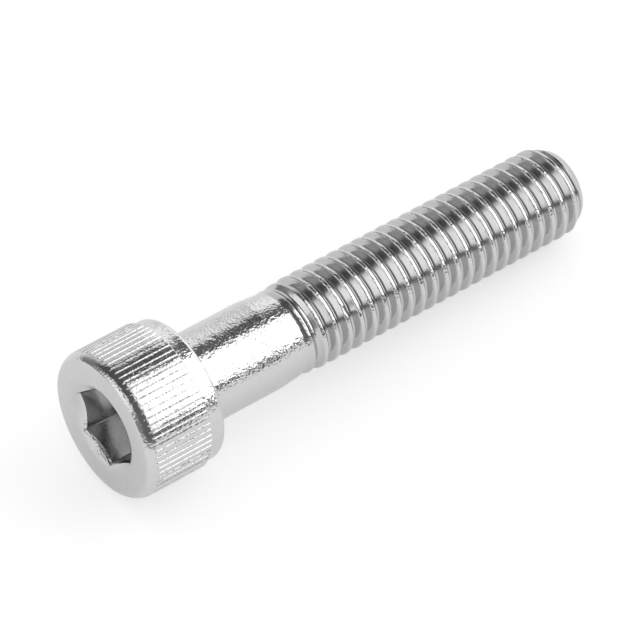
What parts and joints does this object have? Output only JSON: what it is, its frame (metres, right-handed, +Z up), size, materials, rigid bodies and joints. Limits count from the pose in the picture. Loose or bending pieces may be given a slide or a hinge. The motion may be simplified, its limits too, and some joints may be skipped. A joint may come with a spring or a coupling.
{
  "type": "hex socket cap screw",
  "caption": "Partly threaded steel cap screw with a knurled cylindrical head and a hex socket, for clamping parts into a tapped hole or a nut.",
  "frame": {"origin": "centre of the bottom of the bounding box, on the surface that the screw lies on", "axes": "+X from the head to the tip, +Z up; the screw's own axis lies in the XZ plane and dips 3.63 degrees towards the tip, as the screw rests on its head and its thread"},
  "size_m": [0.0476, 0.0128, 0.013],
  "materials": {
    "stainless_steel": "cold forged and rolled, bright, passivated"
  },
  "bodies": {
    "root": {"screw": "stainless_steel"}
  },
  "joints": []
}
